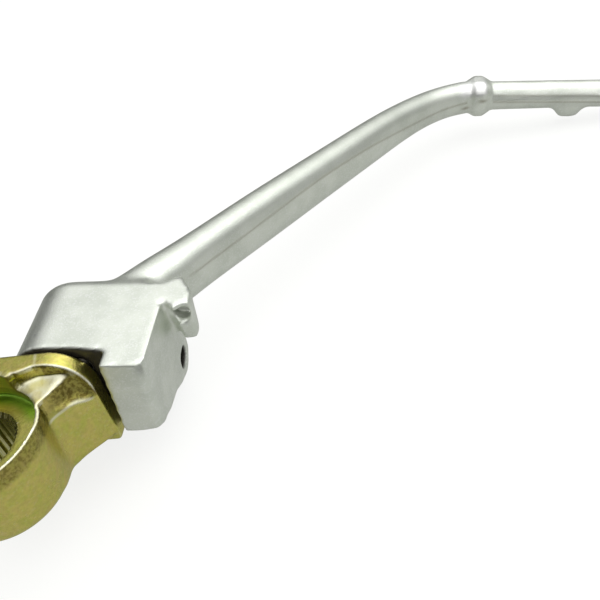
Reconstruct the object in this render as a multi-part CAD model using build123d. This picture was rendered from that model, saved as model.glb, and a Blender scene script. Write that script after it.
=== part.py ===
"""Kick start lever: a splined steel boss with a folding forged aluminium arm.

Frame: origin at the middle of the splined bore. +Z is the spline axis and points away from the engine,
+Y is the pivot axis on which the arm folds, +X is where the peg points when the lever is folded in.
The pieces are drawn from the outer rim of the hub downwards and moved to the origin at the end.
All lengths are millimetres.
"""
from build123d import *
from math import cos, pi, radians, sin, sqrt
import os

os.makedirs("parts", exist_ok=True)

# Splined hub of the boss
spline_root_dia = 17.6
spline_tooth_height = 0.9
spline_teeth = 30
spline_tip_share = 0.41
spline_root_share = 0.27
hub_dia = 29.8
hub_height = 20.9
hub_draft = 0.8
hub_bottom_round = 2.7
rim_width = 1.0
recess_depth = 3.2
bore_chamfer = 0.6

# Pivot flange of the boss
pivot_offset = 8.0
pivot_drop = 9.5
flange_front = 14.3
flange_thickness = 4.1
flange_half = 13.7
flange_corner = 9.4
flange_stop_corner = 1.4
flange_edge = 0.4
flange_step = 1.5
flange_step_end = 3.9
flange_step_slope = 4.4

# Neck between hub and flange
neck_root_turn = 5.0
neck_waist_tuck = 0.9
neck_waist_reach = 5.8
neck_flare = 2.1
neck_flare_reach = 9.6
neck_side_band = 3.3
neck_rise = 0.4
neck_left_turn = 148.0
neck_bottom_round = 1.3
scoop_radius = 12.5
scoop_turn = 57.0
scoop_lift = 1.2
scoop_inset = 1.3
scoop_reach = 7.3

# Pivot stub, its groove and its seal groove
stub_dia = 15.4
stub_length = 25.4
stub_chamfer = 1.0
stub_end_gap = 0.8
seal_wire = 1.6
seal_reach = 3.0
running_gap = 0.04

# Fold joint
droop = 6.75
fold_out = 97.0

# Thrust washer
washer_thickness = 0.6
washer_ball_gap = 0.5
washer_gap = 0.03

# Arm head
barrel_radius = 11.0
head_top = 14.5
head_shoulder_x = 1.0
head_front_tuck = 0.9
head_top_round = 9.4
head_right = 26.0
head_bottom = 11.0
head_length = 27.0
head_back_round = 5.4
barrel_extra = 0.6
barrel_round = 2.4

# Cheek on the peg side of the head, with the stop tab in front
tab_thickness = 8.9
tab_reach = 5.6
tab_bottom = 7.9
chin_reach = 3.4
chin_bottom = 10.4
heel_reach = 9.8
heel_bottom = 12.3
cheek_reach = 26.2
cheek_top_reach = 20.0
cheek_foot = 13.2
cheek_round = 1.8

# Ear and pocket beside the arm root
ear_front = 14.8
ear_reach = 6.8
ear_nose = 2.2
ear_valley = 0.8
ear_length = 10.8
ear_lean = 2.2
ear_bottom = 1.5
ear_round = 1.2
ear_crest_share = 0.45
ear_flat_share = 0.70
ear_side_share = 0.35
pocket_width = 4.4
pocket_height = 4.6
pocket_depth = 6.0
pocket_drop = 1.7
pocket_shift = 0.6
pocket_round = 1.4

# Cross pin and the round pad at its mouth
pin_dia = 6.0
pin_length = 22.0
pin_recess = 4.6
pin_wall = 3.6
pin_bite = 0.6
pin_from_tail = 4.1
pin_chamfer = 0.5
pin_pad_radius = 5.3
pad_extra = 0.7
pad_rise = 0.9
groove_gap = 0.06

# Bush in the head
bush_wall = 1.2
bush_length = 13.5

# Detent ball and spring
ball_dia = 5.0
ball_radius_from_pivot = 12.6
ball_turn = 42.0
ball_drop = 0.8
detent_bore_gap = 0.04
detent_bore_depth = 14.0
spring_wire = 0.7
spring_turns = 5.0

# Forged arm: a straight run from the head, then a bend into the line of the peg
arm_mid_height = 5.2
arm_bow = 0.5
arm_root_x = 12.3
arm_root_inset = 5.5
arm_end_x = 119.6
arm_end_y = 158.0
bend_lead = 36.8
bend_run = 15.7
arm_width_root = 12.4
arm_width = 10.8
arm_width_end = 10.0
arm_height_root = 16.4
arm_height = 15.8
arm_height_end = 12.8
arm_height_tip = 10.4
arm_round_share = 0.44

# Collar and peg
collar_width = 13.8
collar_height = 13.0
collar_length = 8.4
peg_dia = 10.2
peg_length = 82.0
peg_end_round = 1.2
peg_sweep = 2.2
flute_width = 1.2
flute_depth = 0.3
flute_turn = 30.0
nub_from_collar = 33.0
nub_length = 10.6
nub_flat = 6.0
nub_height = 3.1
nub_width = 7.2
nub_round = 1.2

# Values that follow from the sizes above
spline_middle = (recess_depth + bore_chamfer + hub_height) / 2
spline_root_radius = spline_root_dia / 2
spline_tip_radius = spline_root_radius - spline_tooth_height
hub_radius = hub_dia / 2
flange_back = flange_front + flange_thickness
stub_radius = stub_dia / 2
head_front = flange_back + washer_thickness + 2 * washer_gap
head_bore_radius = stub_radius + running_gap
bush_outer_radius = head_bore_radius + bush_wall
pin_radius = pin_dia / 2
pin_drop = stub_radius + pin_radius - pin_bite
pin_y = flange_back + stub_length - pin_from_tail
barrel_back = head_front + head_length + barrel_extra
ball_radius = ball_dia / 2
ball_x = ball_radius_from_pivot * cos(radians(ball_turn))
ball_z = ball_radius_from_pivot * sin(radians(ball_turn))
ball_y = flange_back + running_gap + ball_radius
washer_radius = ball_radius_from_pivot - ball_radius - washer_ball_gap
coil_radius = ball_radius - spring_wire
peg_radius = peg_dia / 2


def plate_plane(y):
    """Sketch plane across the pivot axis: sketch x is X and sketch y is Z."""
    return Plane(origin=(0, y, 0), x_dir=(1, 0, 0), z_dir=(0, -1, 0))


def along_pivot(sketch, y_from, y_to):
    """Extrude a sketch drawn in the XZ plane along the pivot axis."""
    return extrude(plate_plane(y_from) * sketch, amount=y_to - y_from, dir=(0, 1, 0))


def pivot_rod(radius, y_from, y_to):
    """Cylinder on the pivot axis."""
    return along_pivot(Circle(radius), y_from, y_to)


def to_pivot(shape):
    """Move a shape drawn around the pivot axis to the pivot of the boss."""
    return Pos(pivot_offset, 0, -pivot_drop) * shape


def folded(shape):
    """Place a shape of the arm as it stands at rest, drooping a little towards the engine."""
    return to_pivot(Rot(0, droop, 0) * shape)


def make_spline_cutter():
    """Toothed opening of the hub: the circle through the tooth tips and one notch per tooth space."""
    pitch = 360 / spline_teeth
    half_tip = radians((1 - spline_tip_share) * pitch / 2)
    half_root = radians(spline_root_share * pitch / 2)
    inner = spline_tip_radius - spline_tooth_height
    notch = Polygon(
        (inner * cos(half_tip), -inner * sin(half_tip)),
        (spline_tip_radius * cos(half_tip), -spline_tip_radius * sin(half_tip)),
        (spline_root_radius * cos(half_root), -spline_root_radius * sin(half_root)),
        (spline_root_radius * cos(half_root), spline_root_radius * sin(half_root)),
        (spline_tip_radius * cos(half_tip), spline_tip_radius * sin(half_tip)),
        (inner * cos(half_tip), inner * sin(half_tip)),
        align=None,
    )
    outline = Circle(spline_tip_radius)
    for tooth in range(spline_teeth):
        outline += Rot(0, 0, tooth * pitch) * notch
    return Pos(0, 0, -hub_height - 1) * extrude(outline, amount=hub_height + 2)


def make_hub():
    """Forged hub with draft and a rounded foot, still without its openings."""
    foot_radius = hub_radius - hub_draft
    outline = Polyline((0, 0), (hub_radius, 0), (foot_radius, -hub_height), (0, -hub_height), close=True)
    body = revolve(Plane.XZ * make_face(outline), Axis.Z)
    foot = body.edges().filter_by(GeomType.CIRCLE).sort_by(Axis.Z)[0]
    return fillet(foot, hub_bottom_round)


def hub_wall(turn):
    """Point in plan just inside the hub's outer wall."""
    reach = hub_radius - rim_width
    return (reach * cos(radians(turn)), reach * sin(radians(turn)))


def make_scoop():
    """Trough-shaped cutter of the hollow beside the neck's top, running towards the flange."""
    turn = radians(scoop_turn)
    along = Vector(cos(turn), sin(turn), 0)
    outward = Vector(sin(turn), -cos(turn), 0)
    middle = Vector(hub_radius - scoop_inset, scoop_reach, scoop_lift) + outward * scoop_radius
    trough = Circle(scoop_radius) + Pos(0, scoop_radius) * Rectangle(2 * scoop_radius, 2 * scoop_radius)
    return Plane(origin=middle, x_dir=outward, z_dir=-along) * extrude(trough, amount=2 * hub_radius, both=True)


def make_neck():
    """Web between hub and flange: waisted on the peg side, rounded below and scooped above."""
    right = pivot_offset + flange_half
    left = pivot_offset - flange_half
    side_end = flange_back - neck_side_band
    waist = Spline(
        hub_wall(neck_root_turn),
        (hub_radius - neck_waist_tuck, neck_waist_reach),
        (hub_radius + neck_flare, neck_flare_reach),
        (right, side_end),
    )
    rest = Polyline(
        waist @ 1,
        (right, flange_back - flange_edge),
        (left, flange_back - flange_edge),
        (left, side_end),
        hub_wall(neck_left_turn),
        (0, 0),
        waist @ 0,
    )
    outline = make_face([waist, *rest.edges()])
    web = Pos(0, 0, -hub_height) * extrude(outline, amount=hub_height + neck_rise)
    foot = web.edges().filter_by(GeomType.BSPLINE).sort_by(Axis.Z)[0]
    return fillet(foot, neck_bottom_round) - make_scoop()


def make_flange():
    """Pivot flange: two stop flats with a rounded corner between them, and a thicker far side."""
    square = Rectangle(2 * flange_half, 2 * flange_half)
    wide = [corner for corner in square.vertices() if corner.X * corner.Y > 0]
    outline = fillet(wide, flange_corner)
    reach = flange_half * sqrt(2) - flange_edge
    tight = [corner for corner in outline.vertices() if Vector(*corner).length > reach]
    outline = fillet(tight, flange_stop_corner)
    plate = along_pivot(outline, flange_front, flange_back)
    rims = plate.edges().group_by(Axis.Y)
    plate = fillet([*rims[0], *rims[-1]], flange_edge)
    pad_front = flange_front - flange_step
    pad_plan = Polygon(
        (-flange_half, flange_front + flange_edge),
        (-flange_half, pad_front),
        (flange_step_end - flange_step_slope, pad_front),
        (flange_step_end, flange_front + flange_edge),
        align=None,
    )
    pad = Pos(0, 0, -flange_half) * extrude(pad_plan, amount=2 * flange_half)
    return to_pivot(plate + (along_pivot(outline, pad_front, flange_back - flange_edge) & pad))


def make_pin_track():
    """Groove round part of the stub in which the cross pin travels; its ends stop the fold."""
    track_radius = pin_radius + groove_gap
    sector = revolve(Plane.XY * Pos(pin_drop, pin_y) * Circle(track_radius), Axis.Y, revolution_arc=fold_out)
    track = Rot(0, 90 + droop - fold_out, 0) * sector
    for turn in (droop, droop - fold_out):
        rod = Pos(0, pin_y, -pin_drop) * Rot(0, 90, 0) * Cylinder(track_radius, 2 * stub_dia)
        track += Rot(0, turn, 0) * rod
    return track


def make_stub():
    """Pivot stub with its seal groove, the pin track and a chamfered tail."""
    body = pivot_rod(stub_radius, flange_back - 0.5, flange_back + stub_length)
    tail = body.edges().filter_by(GeomType.CIRCLE).sort_by(Axis.Y)[-1]
    body = chamfer(tail, stub_chamfer)
    seal_y = flange_back + seal_reach
    seal_slot = pivot_rod(stub_radius + 1, seal_y - 0.1, seal_y + seal_wire + 0.1)
    seal_slot -= pivot_rod(stub_radius - seal_wire + running_gap, seal_y - 1, seal_y + seal_wire + 1)
    return to_pivot(body - seal_slot - make_pin_track())


def make_boss():
    """Steel boss: hub, neck, flange and pivot stub in one forging."""
    body = make_hub() + make_neck() + make_flange() + make_stub()
    floor = Pos(0, 0, -recess_depth) * Cylinder(
        hub_radius - rim_width, 3 * recess_depth, align=(Align.CENTER, Align.CENTER, Align.MIN)
    )
    lead_in = Pos(0, 0, -recess_depth) * Cone(
        spline_root_radius - bore_chamfer, spline_root_radius + bore_chamfer, 2 * bore_chamfer
    )
    body = body - floor - lead_in - make_spline_cutter()
    for turn in (droop, droop - fold_out):
        dimple = Pos(ball_x, ball_y - ball_drop, ball_z) * Sphere(ball_radius + running_gap)
        body -= to_pivot(Rot(0, turn, 0) * dimple)
    return body


def head_outline(shoulder_x):
    """Outline of the head round the pivot; its shoulder stands at the given place."""
    right = head_right - tab_thickness / 2
    barrel = Circle(barrel_radius)
    shoulder = Pos(shoulder_x, head_top - head_top_round) * Circle(head_top_round)
    side = Line((right, -head_bottom), (right, head_top))
    return make_hull([*barrel.edges(), *shoulder.edges(), side])


def make_head():
    """Block of the arm round the pivot: barrel, rounded shoulder, flat top and rounded back."""
    head_back = head_front + head_length
    front = plate_plane(head_front) * head_outline(head_shoulder_x + head_front_tuck)
    back = plate_plane(head_back) * head_outline(head_shoulder_x)
    head = loft([front, back], ruled=True)
    side = head.faces().sort_by(Axis.X)[-1]
    rim = [edge for edge in head.edges().group_by(Axis.Y)[-1] if edge.center().X < side.center().X - 1]
    head = fillet(rim, head_back_round)
    barrel = pivot_rod(barrel_radius, head_front, barrel_back)
    tail = barrel.edges().filter_by(GeomType.CIRCLE).sort_by(Axis.Y)[-1]
    return head + fillet(tail, barrel_round)


def make_cheek():
    """Cheek on the peg side: stop tab in front, sloping foot, and the pad round the cross pin."""
    front = head_front - tab_reach
    pad_foot = pin_drop + pin_pad_radius + pad_extra
    outline = Polygon(
        (front, head_top),
        (front, -tab_bottom),
        (front + chin_reach, -chin_bottom),
        (head_front + heel_reach, -heel_bottom),
        (pin_y - pin_pad_radius, -pad_foot + pad_rise),
        (pin_y - pad_extra, -pad_foot),
        (pin_y + pad_extra, -pad_foot),
        (head_front + cheek_reach, -cheek_foot),
        (head_front + cheek_reach, ear_bottom),
        (head_front + cheek_top_reach, head_top),
        align=None,
    )
    cheek = extrude(Plane.YZ.offset(head_right - tab_thickness) * outline, amount=tab_thickness)
    rim = cheek.faces().sort_by(Axis.X)[-1].edges()
    soft = [edge for edge in rim if edge.center().Z < -tab_bottom or edge.center().Y < front + 1]
    return fillet(soft, cheek_round)


def ear_outline(lean):
    """Plan of the ear; its front leans back by the given amount."""
    front = head_front + ear_front
    right = head_right + ear_reach
    outline = Polygon(
        (head_right - tab_thickness, front + ear_valley + lean),
        (head_right + lean, front + ear_valley + lean),
        (head_right + ear_crest_share * ear_reach + lean / 4, front - ear_nose + lean),
        (head_right + ear_flat_share * ear_reach, front - ear_nose / 4 + lean / 2),
        (right, front - ear_nose / 4 + lean / 2),
        (right, front + ear_side_share * ear_length),
        (head_right + ear_flat_share * ear_reach, front + 2 * ear_side_share * ear_length),
        (head_right + ear_crest_share * ear_reach, front + ear_length),
        (head_right - tab_thickness, front + ear_length / 2),
        align=None,
    )
    corner = outline.vertices().sort_by(Axis.X)[-1]
    return fillet(corner, ear_round)


def make_ear():
    """Raised ear between head and arm root, upright behind and leaning back in front."""
    top = Pos(0, 0, head_top) * ear_outline(0)
    bottom = Pos(0, 0, ear_bottom) * ear_outline(ear_lean)
    return loft([bottom, top], ruled=True)


def make_pocket():
    """Dark pocket in the front face of the ear."""
    outline = RectangleRounded(pocket_width, pocket_height, pocket_round)
    middle_x = head_right + ear_reach / 2 + pocket_shift
    middle_z = head_top - pocket_drop - pocket_height / 2
    front = head_front + ear_front
    return along_pivot(Pos(middle_x, middle_z) * outline, front - ear_nose, front + pocket_depth)


def arm_path():
    """Centre line of the forged arm from inside the head to the collar."""
    root = Vector(arm_root_x, head_front + head_length - arm_root_inset, 0)
    end = Vector(arm_end_x, arm_end_y, 0)
    corner = end - Vector(bend_run, 0, 0)
    bend_start = corner - (corner - root).normalized() * bend_lead
    return Wire([Line(root, bend_start), Bezier(bend_start, corner, end)])


def make_arm_bar():
    """Tapered bar of the arm, lofted through rounded sections along its centre line."""
    path = arm_path()
    stations = (
        (0.0, arm_width_root, arm_height_root),
        (0.07, arm_width_root, arm_height_root),
        (0.14, (arm_width_root + arm_width) / 2, arm_height),
        (0.28, arm_width, arm_height),
        (0.45, arm_width, (3 * arm_height + arm_height_end) / 4),
        (0.62, (arm_width + arm_width_end) / 2, (arm_height + arm_height_end) / 2),
        (0.78, arm_width_end, arm_height_end),
        (0.90, arm_width_end, (arm_height_end + arm_height_tip) / 2),
        (1.0, arm_width_end, arm_height_tip),
    )
    sections = []
    for share, width, height in stations:
        along = path % share
        across = Vector(along.Y, -along.X, 0)
        spot = path @ share
        middle = arm_mid_height + arm_bow * sin(pi * share)
        plane = Plane(origin=(spot.X, spot.Y, middle), x_dir=across, z_dir=along)
        sections.append(plane * RectangleRounded(width, height, width * arm_round_share))
    return loft(sections)


def peg_plane(reach):
    """Plane across the peg at a distance past the end of the arm's centre line."""
    end = arm_path() @ 1
    along = Vector(cos(radians(peg_sweep)), -sin(radians(peg_sweep)), 0)
    across = Vector(along.Y, -along.X, 0)
    spot = Vector(end.X, end.Y, arm_mid_height) + along * reach
    return Plane(origin=spot, x_dir=across, z_dir=along)


def make_collar():
    """Raised collar where the arm turns into the peg."""
    half = collar_length / 2
    stations = (
        (-half, arm_width_end, arm_height_tip),
        (-half * 0.35, collar_width, collar_height),
        (half * 0.35, collar_width, collar_height),
        (half, peg_dia, peg_dia),
    )
    sections = []
    for reach, width, height in stations:
        sections.append(peg_plane(reach) * RectangleRounded(width, height, height * 0.36))
    return loft(sections, ruled=True)


def make_peg():
    """Round foot peg with a fine flute along it, a nub below and a plain end."""
    body = extrude(peg_plane(0) * Circle(peg_radius), amount=peg_length)
    body = fillet(body.faces().sort_by(Axis.X)[-1].edges(), peg_end_round)
    flute = Rot(0, 0, -flute_turn) * Pos(peg_radius, 0) * Rectangle(2 * flute_depth, flute_width)
    body -= extrude(peg_plane(collar_length) * flute, amount=peg_length - 2 * collar_length)
    outline = Polygon(
        (-nub_length / 2, -peg_radius / 2),
        (-nub_length / 2, -peg_radius),
        (-nub_flat / 2, -peg_radius - nub_height),
        (nub_flat / 2, -peg_radius - nub_height),
        (nub_length / 2, -peg_radius),
        (nub_length / 2, -peg_radius / 2),
        align=None,
    )
    outline = fillet(outline.vertices().group_by(Axis.Y)[0], nub_round)
    spot = peg_plane(nub_from_collar).origin
    plane = Plane(origin=spot, x_dir=(1, 0, 0), z_dir=(0, -1, 0))
    return body + extrude(plane * outline, amount=nub_width / 2, both=True)


def pin_line(shape):
    """Lay a shape made along Z on the line of the cross pin, its middle at the given reach."""
    return Pos(0, pin_y, -pin_drop) * Rot(0, 90, 0) * shape


def make_arm():
    """Forged aluminium arm: head, cheek, ear, bar, collar and peg in one piece."""
    body = make_head() + make_cheek() + make_ear() + make_arm_bar() + make_collar() + make_peg()
    tube_length = pin_recess + pin_length + pin_wall
    body += pin_line(Pos(0, 0, head_right - tube_length / 2) * Cylinder(pin_pad_radius, tube_length))
    hole_length = pin_recess + pin_length
    body -= pin_line(Pos(0, 0, head_right - hole_length / 2 + 0.5) * Cylinder(pin_radius, hole_length + 1))
    body -= pivot_rod(head_bore_radius, head_front - 1, flange_back + stub_length + stub_end_gap)
    body -= pivot_rod(bush_outer_radius, head_front - 1, head_front + bush_length)
    body -= Pos(ball_x, 0, ball_z) * pivot_rod(
        ball_radius + detent_bore_gap, head_front - 1, head_front + detent_bore_depth
    )
    return folded(body - make_pocket())


def make_washer():
    """Thrust washer between flange and head."""
    y = flange_back + washer_gap
    ring = pivot_rod(washer_radius, y, y + washer_thickness)
    return to_pivot(ring - pivot_rod(stub_radius + running_gap, y - 1, y + 1 + washer_thickness))


def make_seal():
    """Rubber ring in the groove of the stub."""
    middle = flange_back + seal_reach + seal_wire / 2
    radius = stub_radius + running_gap / 2 - seal_wire / 2
    ring = revolve(Plane.XY * Pos(radius, middle) * Circle(seal_wire / 2 - running_gap / 2), Axis.Y)
    return to_pivot(ring)


def make_bush():
    """Bearing bush pressed into the front of the head."""
    ring = pivot_rod(bush_outer_radius, head_front, head_front + bush_length)
    return folded(ring - pivot_rod(head_bore_radius, head_front - 1, head_front + bush_length + 1))


def make_pin():
    """Cross pin that holds the stub in the head."""
    body = Cylinder(pin_radius, pin_length)
    body = chamfer(body.edges().filter_by(GeomType.CIRCLE), pin_chamfer)
    return folded(pin_line(Pos(0, 0, head_right - pin_recess - pin_length / 2) * body))


def make_ball():
    """Detent ball, riding on the flange between its two dimples."""
    return folded(Pos(ball_x, ball_y, ball_z) * Sphere(ball_radius))


def make_spring():
    """Detent spring between the ball and the floor of its bore."""
    reach = ball_radius + spring_wire / 2 + running_gap
    y_from = ball_y + sqrt(reach**2 - coil_radius**2)
    y_to = head_front + detent_bore_depth - spring_wire / 2 - running_gap
    helix = Helix(pitch=(y_to - y_from) / spring_turns, height=y_to - y_from, radius=coil_radius)
    section = Plane(origin=helix @ 0, z_dir=helix % 0) * Circle(spring_wire / 2)
    coil = sweep(section, path=helix)
    return folded(Pos(ball_x, y_from, ball_z) * Rot(-90, 0, 0) * coil)


def main():
    """Build every piece and write it out."""
    pieces = {
        "kick_boss": make_boss(),
        "kick_arm": make_arm(),
        "thrust_washer": make_washer(),
        "seal_ring": make_seal(),
        "pivot_bush": make_bush(),
        "cross_pin": make_pin(),
        "detent_ball": make_ball(),
        "detent_spring": make_spring(),
    }
    for name, shape in pieces.items():
        export_step(Pos(0, 0, spline_middle) * shape, f"parts/{name}.step")


main()
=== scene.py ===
"""Looks of a kick start lever: a folding forged aluminium arm on a splined, yellow zinc plated steel boss.

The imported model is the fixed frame. The arm and the boss get a softened, finely meshed skin in place of their
nodes, and the small pieces keep their shape and get their finish. Lengths in the classes are millimetres.
"""
from __future__ import annotations

import logging
import math
from dataclasses import dataclass, field
from enum import Enum

import bmesh
import bpy
import numpy as np
from mathutils import Matrix, Vector

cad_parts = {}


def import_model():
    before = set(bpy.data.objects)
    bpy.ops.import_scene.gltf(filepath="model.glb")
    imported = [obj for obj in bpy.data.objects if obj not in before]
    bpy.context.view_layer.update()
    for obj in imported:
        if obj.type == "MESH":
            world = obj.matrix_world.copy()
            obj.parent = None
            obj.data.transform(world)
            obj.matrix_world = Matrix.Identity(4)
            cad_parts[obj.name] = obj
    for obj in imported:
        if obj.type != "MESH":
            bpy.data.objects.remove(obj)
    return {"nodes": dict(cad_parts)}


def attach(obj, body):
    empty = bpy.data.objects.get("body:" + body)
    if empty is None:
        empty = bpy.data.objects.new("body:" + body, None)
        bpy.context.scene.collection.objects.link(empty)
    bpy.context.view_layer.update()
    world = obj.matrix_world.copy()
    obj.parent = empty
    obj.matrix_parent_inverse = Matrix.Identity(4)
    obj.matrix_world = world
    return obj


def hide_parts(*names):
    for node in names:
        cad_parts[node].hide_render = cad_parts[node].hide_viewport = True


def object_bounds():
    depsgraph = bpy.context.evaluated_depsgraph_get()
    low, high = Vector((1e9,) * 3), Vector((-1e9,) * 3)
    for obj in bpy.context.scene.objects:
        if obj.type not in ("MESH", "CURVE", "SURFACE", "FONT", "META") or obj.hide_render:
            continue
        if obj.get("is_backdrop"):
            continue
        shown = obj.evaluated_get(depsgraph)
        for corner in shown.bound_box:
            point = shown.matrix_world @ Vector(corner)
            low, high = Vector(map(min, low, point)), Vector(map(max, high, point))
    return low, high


LOG = logging.getLogger("kick_start_lever")
MM = 0.001
WELD_GAP = 2e-6
SPREAD_STEP = 0.55
REGAIN_STEP = 0.58
CLOUD_SCALE = 130.0

Array = np.ndarray
Color = tuple[float, float, float, float]
Form = bmesh.types.BMesh
Material = bpy.types.Material
Node = bpy.types.Node
Outputs = bpy.types.NodeOutputs
Piece = bpy.types.Object
Socket = bpy.types.NodeSocket
Tree = bpy.types.NodeTree
Triple = tuple[float, float, float]


class Body(str, Enum):
    """Bodies of the frame that a piece can ride on."""

    BOSS = "boss"
    ARM = "arm"


class Relax(Enum):
    """Ways to even out a mesh."""

    KEEP_FORM = "keep_form"
    SPREAD = "spread"


class Share(str, Enum):
    """Shares from 0 to 1 that a skin stores on its points for its material."""

    # painted shade in the arm head's gaps and holes
    HEAD_SHADE = "head_shade"
    # painted highlights on the boss and by the arm's collar
    WEAR_AND_GLINT = "wear_and_glint"
    # painted shade: on the arm's bar top, in the boss's recess and bore
    SHADE = "shade"
    # painted shade, brown, on the boss
    BROWN_SHADE = "brown_shade"
    SEAM = "seam"
    GREEN = "green"


def add_object(name: str, data: bpy.types.ID) -> Piece:
    """Add an object to the scene.

    Args:
        name: Name of the object.
        data: Mesh, camera or light that it shows.

    Returns:
        The new object.
    """
    piece = bpy.data.objects.new(name, data)
    bpy.context.scene.collection.objects.link(piece)
    return piece


def to_mesh(name: str, form: Form) -> bpy.types.Mesh:
    """Turn a form into a mesh.

    Args:
        name: Name of the mesh.
        form: Form, used up by this.

    Returns:
        The new mesh.
    """
    mesh = bpy.data.meshes.new(name)
    form.to_mesh(mesh)
    form.free()
    return mesh


class NodeBoard:
    """Lays out the nodes of a material or of a node group."""

    def __init__(self, tree: Tree) -> None:
        """Keep the tree that is being laid out."""
        self.tree = tree

    def add(self, kind: str, **values: object) -> Node:
        """Add a node.

        Args:
            kind: Blender's name of the node type.
            **values: Inputs by name, with underscores for spaces, and other settings of the node.

        Returns:
            The new node.
        """
        node = self.tree.nodes.new(kind)
        for name, value in values.items():
            socket = node.inputs.get(name.replace("_", " "))
            if socket is None:
                setattr(node, name, value)
            else:
                self.feed(value, socket)
        return node

    def feed(self, value: object, socket: Socket) -> None:
        """Link a socket or set a value on an input.

        Args:
            value: Socket or plain value.
            socket: Input that gets it.
        """
        if isinstance(value, Socket):
            self.tree.links.new(value, socket)
        else:
            socket.default_value = value

    def math(self, operation: str, first: object, second: object) -> Socket:
        """Work out one sum.

        Args:
            operation: Name of the operation.
            first: Socket or number.
            second: Socket or number.

        Returns:
            The result's socket.
        """
        node = self.add("ShaderNodeMath", operation=operation)
        self.feed(first, node.inputs[0])
        self.feed(second, node.inputs[1])
        return node.outputs[0]

    def times(self, first: object, second: object) -> Socket:
        """Multiply two sockets or numbers."""
        return self.math("MULTIPLY", first, second)

    def plus(self, first: object, second: object) -> Socket:
        """Add two sockets or numbers."""
        return self.math("ADD", first, second)

    def minus(self, first: object, second: object) -> Socket:
        """Take the second socket or number from the first."""
        return self.math("SUBTRACT", first, second)

    def coats(self, color: object, *coats: tuple[Socket, object, Color]) -> Socket:
        """Lay colours over each other.

        Args:
            color: Socket or colour underneath.
            *coats: Mask, strength (socket or number) and colour of each next coat.

        Returns:
            The mixed colour's socket.
        """
        for mask, strength, coat in coats:
            node = self.add("ShaderNodeMix", data_type="RGBA")
            for value, index in ((self.times(mask, strength), 0), (color, 6), (coat, 7)):
                self.feed(value, node.inputs[index])
            color = node.outputs[2]
        return color

    def ramp(self, source: Socket, low: float, high: float) -> Socket:
        """Spread a value softly over 0 to 1, from the low mark to the high one."""
        marks = {"Value": source, "From_Min": low, "From_Max": high}
        return self.add("ShaderNodeMapRange", interpolation_type="SMOOTHSTEP", **marks).outputs["Result"]

    def place(self) -> Socket:
        """Find a point's place on its own object."""
        return self.add("ShaderNodeTexCoord").outputs["Object"]

    def noise(self, place: Socket, scale: object, detail: float, **more: float) -> Socket:
        """Add a noise at a place, with its scale, its finer layers and more of its inputs by name."""
        return self.add("ShaderNodeTexNoise", Vector=place, Scale=scale, Detail=detail, **more).outputs["Fac"]

    def stored(self, share: Share) -> Socket:
        """Read a share that the skin stores on its points."""
        return self.add("ShaderNodeAttribute", attribute_name=share.value).outputs["Fac"]

    def bump(self, height: Socket, depth: float, strength: float) -> Socket:
        """Turn a height into a normal, with its depth in millimetres and its strength from 0 to 1."""
        return self.add("ShaderNodeBump", Strength=strength, Distance=depth * MM, Height=height).outputs[0]

    def surface(self, **values: object) -> None:
        """End a material with one Principled shader, whose inputs are given by name."""
        shader = self.add("ShaderNodeBsdfPrincipled", **values)
        self.add("ShaderNodeOutputMaterial", Surface=shader.outputs["BSDF"])


class EffectGroup:
    """Base of the shared effects: a node group that is built once and placed in many materials."""

    name = "effect"
    inputs: tuple[tuple[str, float], ...] = ()
    outputs: tuple[str, ...] = ()

    def tree(self) -> Tree:
        """Build the group the first time.

        Returns:
            The group's node tree.
        """
        known = bpy.data.node_groups.get(self.name)
        if known:
            return known
        tree = bpy.data.node_groups.new(self.name, "ShaderNodeTree")
        for label, value in self.inputs:
            socket = tree.interface.new_socket(name=label, in_out="INPUT", socket_type="NodeSocketFloat")
            socket.default_value = value
        for label in self.outputs:
            tree.interface.new_socket(name=label, in_out="OUTPUT", socket_type="NodeSocketFloat")
        board = NodeBoard(tree)
        given = board.add("NodeGroupInput").outputs
        result = board.add("NodeGroupOutput").inputs
        for label, value in self.lay_out(board, given).items():
            board.feed(value, result[label])
        return tree

    def lay_out(self, board: NodeBoard, given: Outputs) -> dict[str, Socket]:
        """Lay out the effect's own nodes and return what goes to its outputs."""
        raise NotImplementedError

    def place(self, board: NodeBoard, **values: float) -> Outputs:
        """Place the effect on a material's board, with values for its inputs, and return its outputs."""
        return board.add("ShaderNodeGroup", node_tree=self.tree(), **values).outputs


class BlastGrain(EffectGroup):
    """Fine blasted grain: a height for the bump, a scatter of bright facets and wide clouds."""

    name = "blast_grain"
    inputs = (("Grain Size", 0.5), ("Facet Share", 0.4))
    outputs = ("Height", "Facets", "Clouds")

    def lay_out(self, board: NodeBoard, given: Outputs) -> dict[str, Socket]:
        """Lay out two sizes of noise and the facet mask.

        Args:
            board: Board of the group.
            given: Inputs of the group.

        Returns:
            What goes to each output.
        """
        place = board.place()
        scale = board.math("DIVIDE", 1 / MM, given["Grain Size"])
        cells = board.add("ShaderNodeTexVoronoi", feature="F1", Vector=place, Scale=scale)
        split = board.add("ShaderNodeSeparateColor", Color=cells.outputs["Color"])
        facet = board.minus(split.outputs["Red"], board.minus(1.0, given["Facet Share"]))
        return {
            "Height": board.noise(place, scale, 2.0, Roughness=0.6),
            "Facets": board.ramp(facet, 0.0, 0.3),
            "Clouds": board.noise(place, CLOUD_SCALE, 3.0),
        }


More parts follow.
